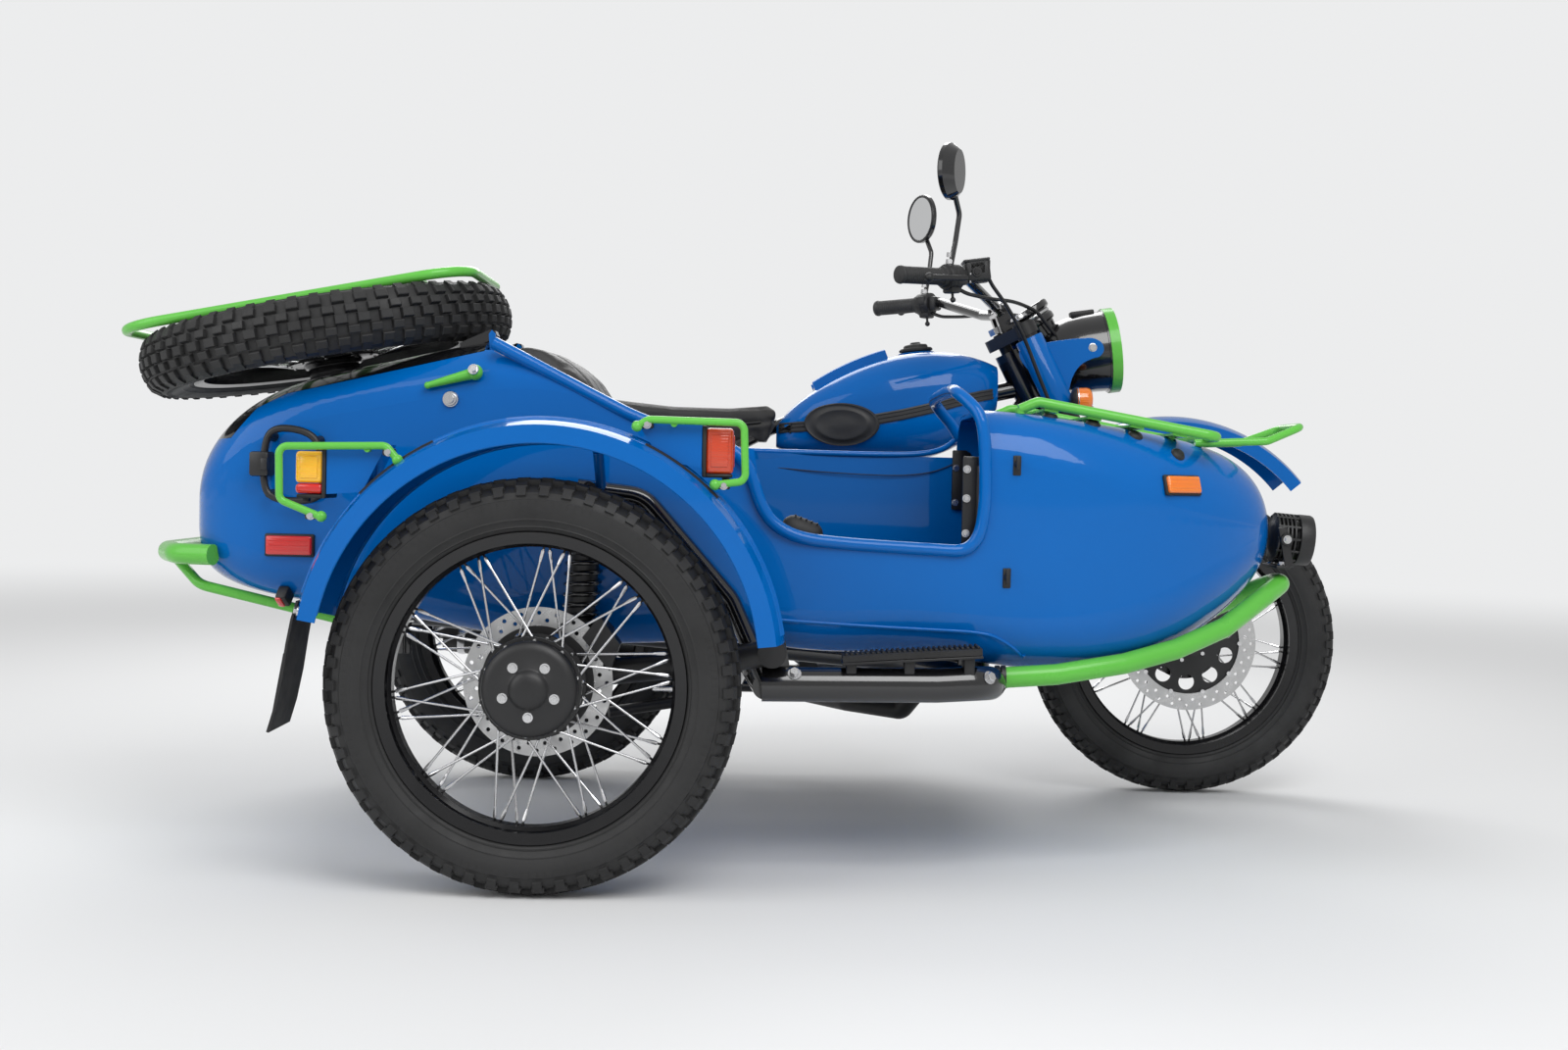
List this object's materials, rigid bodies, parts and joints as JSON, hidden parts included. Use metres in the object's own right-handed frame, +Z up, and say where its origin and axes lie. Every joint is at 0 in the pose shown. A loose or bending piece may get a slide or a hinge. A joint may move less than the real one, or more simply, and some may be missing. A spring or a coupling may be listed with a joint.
{
  "type": "sidecar motorcycle",
  "caption": "Motorcycle with a sidecar on its right, open flat twin engine, spoked wheels, spare wheel under a luggage rack on the trunk lid.",
  "frame": {"origin": "on the floor under the middle of the whole vehicle's bounding box", "axes": "+X forward in the driving direction, +Y to the rider's left, +Z up; the sidecar is on -Y"},
  "size_m": [2.3973, 1.6276, 1.354],
  "materials": {
    "blue_paint": "gloss",
    "green_paint": "gloss",
    "black_gloss": "gloss",
    "black_satin": "satin",
    "tyre": "matte",
    "rim": "gloss rim, bright spokes",
    "steel": "brushed",
    "alloy": "cast, satin",
    "seat_cover": "matte grain",
    "rubber": "matte",
    "bright": "polished",
    "amber_lens": "clear gloss",
    "lamp_glass": "clear"
  },
  "bodies": {
    "chassis": {"footrests": "black_satin", "tool_bracket": "black_satin", "lid_catch": "green_paint", "frame_tubes": "black_gloss", "engine": "alloy", "cylinders": "alloy", "exhaust": "black_satin", "final_drive": "black_satin", "rear_shocks": "black_satin", "rear_fender": "blue_paint", "bike_seat": "seat_cover", "fuel_tank": "blue_paint", "tank_trim": "rubber", "tail_lamp": "amber_lens", "tub": "blue_paint", "cockpit_rail": "blue_paint", "sidecar_seat": "seat_cover", "sidecar_frame": "black_satin", "side_swingarm": "black_satin", "side_shaft": "black_satin", "side_fender": "blue_paint", "mudflap": "rubber", "lamp_housings": "blue_paint", "lamp_lenses": "amber_lens", "lamp_guards": "green_paint", "bumpers": "green_paint", "nose_rack": "green_paint", "nose_lamp": "black_satin"},
    "steering": {"fork": "black_satin", "fork_links": "black_satin", "fork_covers": "blue_paint", "front_fender": "blue_paint", "handlebar": "black_satin", "controls": "black_satin", "mirrors": "black_satin", "headlamp": "black_gloss", "headlamp_rim": "green_paint", "headlamp_lens": "lamp_glass", "cables": "rubber", "turn_lamps": "amber_lens"},
    "front_wheel": {"front_tyre": "tyre", "front_rim": "rim", "front_disc": "steel"},
    "rear_wheel": {"rear_tyre": "tyre", "rear_rim": "rim", "rear_disc": "steel"},
    "sidecar_wheel": {"side_tyre": "tyre", "side_rim": "rim", "side_disc": "steel", "hub_cap": "black_satin"},
    "lid": {"trunk_lid": "black_gloss", "luggage_rack": "green_paint", "spare_tyre": "tyre", "spare_rim": "rim"},
    "stand": {"centre_stand": "black_satin"}
  },
  "joints": [
    {"name": "steer", "type": "hinge", "parent": "chassis", "child": "steering", "pos_m": [0.50146, 0.4022, 0.885], "axis": [-0.454, 0, 0.891], "range_deg": [-35, 35]},
    {"name": "front_wheel_spin", "type": "hinge", "parent": "steering", "child": "front_wheel", "pos_m": [0.8637, 0.4022, 0.335], "axis": [0, 1, 0], "continuous": true},
    {"name": "rear_wheel_spin", "type": "hinge", "parent": "chassis", "child": "rear_wheel", "pos_m": [-0.5663, 0.4022, 0.335], "axis": [0, 1, 0], "continuous": true},
    {"name": "sidecar_wheel_spin", "type": "hinge", "parent": "chassis", "child": "sidecar_wheel", "pos_m": [-0.4263, -0.7378, 0.335], "axis": [0, 1, 0], "continuous": true},
    {"name": "trunk_lid_hinge", "type": "hinge", "parent": "chassis", "child": "lid", "pos_m": [-0.5403, -0.2878, 0.914], "axis": [0, 1, 0], "range_deg": [0, 60]},
    {"name": "centre_stand_swing", "type": "hinge", "parent": "chassis", "child": "stand", "pos_m": [-0.1663, 0.4022, 0.198], "axis": [0, -1, 0], "range_deg": [0, 47]}
  ]
}
